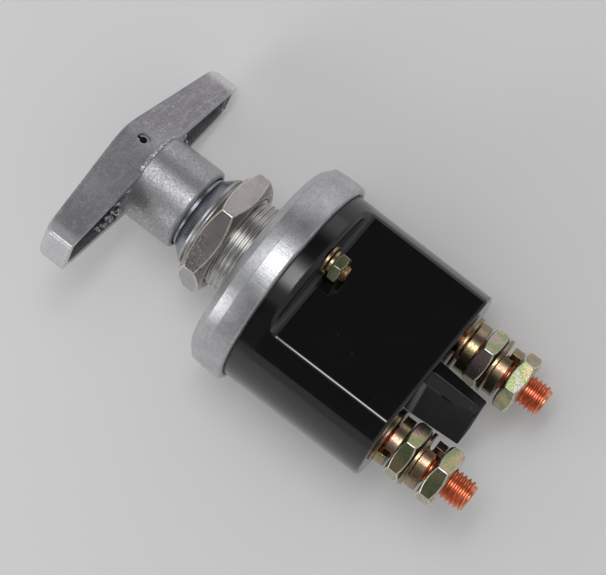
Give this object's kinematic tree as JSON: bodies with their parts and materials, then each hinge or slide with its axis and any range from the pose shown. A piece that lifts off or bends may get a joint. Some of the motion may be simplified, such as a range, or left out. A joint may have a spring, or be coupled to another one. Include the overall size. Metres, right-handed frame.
{
  "type": "battery disconnect switch",
  "caption": "Round panel switch with a T handle, a threaded bushing and nut, a black housing with a flat side, and two threaded copper studs with nuts and washers.",
  "frame": {"origin": "centre of the cover's front face, the plane that seats behind the panel", "axes": "+Z along the switch axis from the studs towards the handle, +X from one stud to the other, -Y the way the housing's flat faces"},
  "size_m": [0.0836, 0.0698, 0.1452],
  "materials": {
    "handle_casting": "raw die casting",
    "cover_casting": "satin casting",
    "nickel_plate": "dull nickel plate",
    "black_moulding": "glossy phenolic moulding",
    "yellow_zinc": "yellow zinc plate",
    "copper": "bright copper",
    "contact_pads": "silver alloy",
    "brass": "bright brass",
    "pin_steel": "plain steel",
    "inner_plastic": "natural nylon",
    "rubber": "black rubber"
  },
  "bodies": {
    "case": {"cover": "cover_casting", "panel_nut": "nickel_plate", "cover_gasket": "rubber", "thrust_washer": "inner_plastic", "housing": "black_moulding", "terminal_studs": "copper", "inner_flat_washers": "yellow_zinc", "inner_spring_washers": "yellow_zinc", "clamp_nuts": "yellow_zinc", "outer_flat_washers": "yellow_zinc", "outer_spring_washers": "yellow_zinc", "cable_nuts": "yellow_zinc", "aux_screw": "brass", "aux_contact_strip": "brass", "aux_flat_washer": "yellow_zinc", "aux_spring_washer": "yellow_zinc", "aux_nut": "yellow_zinc"},
    "handle": {"t_handle": "handle_casting", "handle_pin": "pin_steel", "drive_shaft": "pin_steel", "shaft_seal": "rubber", "drive_pin": "pin_steel"},
    "plunger": {"plunger": "inner_plastic", "plunger_clip": "pin_steel", "contact_spring": "pin_steel", "contact_bridge": "copper", "bridge_pads": "contact_pads"}
  },
  "joints": [
    {"name": "handle_turn", "type": "hinge", "parent": "case", "child": "handle", "pos_m": [0, 0, 0], "axis": [0, 0, -1], "range_deg": [0, 90]},
    {"name": "plunger_slide", "type": "slide", "parent": "case", "child": "plunger", "axis": [0, 0, -1], "range_m": [0, 0.004]}
  ],
  "couplings": [
    {"joint": "plunger_slide", "follows": "handle_turn", "m_per_rad": 0.0025464}
  ]
}
